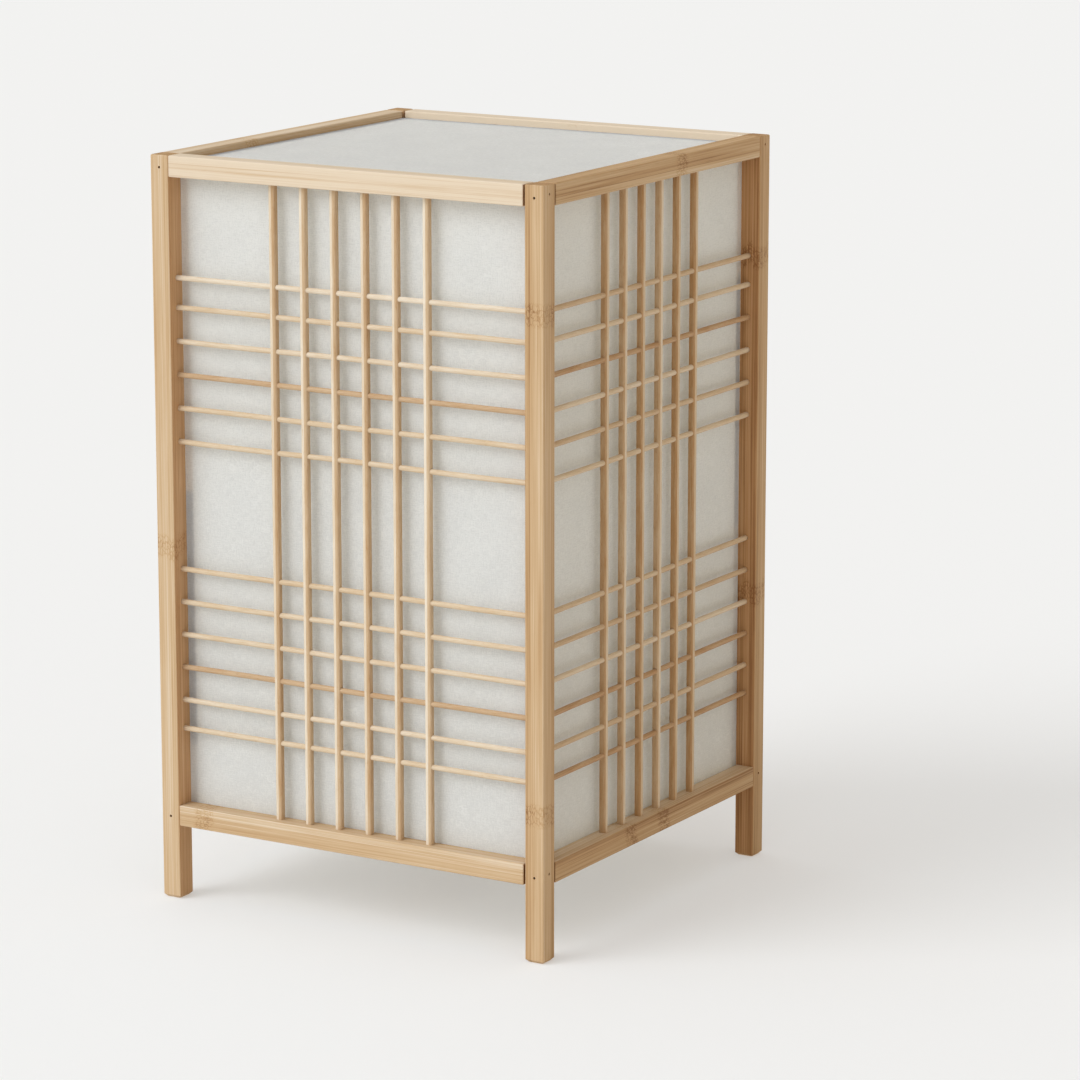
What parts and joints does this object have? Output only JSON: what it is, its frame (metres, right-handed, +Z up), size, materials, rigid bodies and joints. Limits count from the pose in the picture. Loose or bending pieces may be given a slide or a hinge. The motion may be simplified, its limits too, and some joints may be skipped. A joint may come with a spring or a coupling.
{
  "type": "andon floor lamp",
  "caption": "Square bamboo-framed floor lamp with lattice sides, translucent paper panels and top, short feet and a screw-in bulb inside.",
  "frame": {"origin": "centre of the base, on the floor under the four feet", "axes": "+Z up, -Y to the front side, +X to the right side seen from the front"},
  "size_m": [0.34, 0.34, 0.573],
  "materials": {
    "bamboo_frame": "clear matt lacquer on planed bamboo",
    "bamboo_strip": "planed bamboo, bare",
    "bamboo_rod": "drawn bamboo rod, bare",
    "inner_batten": "planed softwood, bare",
    "shade_paper": "translucent paper with long fibres",
    "steel": "zinc plated",
    "holder_plastic": "moulded, satin",
    "holder_ceramic": "glazed",
    "contact_brass": "bright",
    "cap_insulator": "dark glass insulator",
    "cap_metal": "rolled, nickel plated",
    "bulb_plastic": "white moulded",
    "bulb_board": "white solder mask",
    "bulb_opal": "opal, smooth"
  },
  "bodies": {
    "lamp_frame": {"back_lower_rods": "bamboo_rod", "back_strips": "bamboo_strip", "back_upper_rods": "bamboo_rod", "bar_screws": "steel", "bottom_rail_back": "bamboo_frame", "bottom_rail_front": "bamboo_frame", "bottom_rail_left": "bamboo_frame", "bottom_rail_right": "bamboo_frame", "centre_contact": "contact_brass", "cord_grip": "holder_plastic", "corner_bead_back_left": "inner_batten", "corner_bead_back_right": "inner_batten", "corner_bead_front_left": "inner_batten", "corner_bead_front_right": "inner_batten", "cross_bar": "inner_batten", "frame_brads": "steel", "front_lower_rods": "bamboo_rod", "front_strips": "bamboo_strip", "front_upper_rods": "bamboo_rod", "holder_cap": "holder_plastic", "holder_insulator": "holder_ceramic", "holder_nipple": "steel", "holder_nut": "steel", "holder_shell": "holder_plastic", "left_lower_rods": "bamboo_rod", "left_strips": "bamboo_strip", "left_upper_rods": "bamboo_rod", "paper_back": "shade_paper", "paper_front": "shade_paper", "paper_left": "shade_paper", "paper_right": "shade_paper", "paper_top": "shade_paper", "post_back_left": "bamboo_frame", "post_back_right": "bamboo_frame", "post_front_left": "bamboo_frame", "post_front_right": "bamboo_frame", "right_lower_rods": "bamboo_rod", "right_strips": "bamboo_strip", "right_upper_rods": "bamboo_rod", "terminal_screws": "contact_brass", "thread_sleeve": "contact_brass", "top_cleat_back": "inner_batten", "top_cleat_front": "inner_batten", "top_cleat_left": "inner_batten", "top_cleat_right": "inner_batten", "top_rail_back": "bamboo_frame", "top_rail_front": "bamboo_frame", "top_rail_left": "bamboo_frame", "top_rail_right": "bamboo_frame"},
    "bulb": {"bulb_tip": "contact_brass", "bulb_cap_insulator": "cap_insulator", "bulb_screw_cap": "cap_metal", "bulb_housing": "bulb_plastic", "bulb_board": "bulb_board", "bulb_globe": "bulb_opal"}
  },
  "joints": [
    {"name": "bulb_unscrew", "type": "slide", "parent": "lamp_frame", "child": "bulb", "axis": [0, 0, 1], "range_m": [0, 0.0217]}
  ]
}
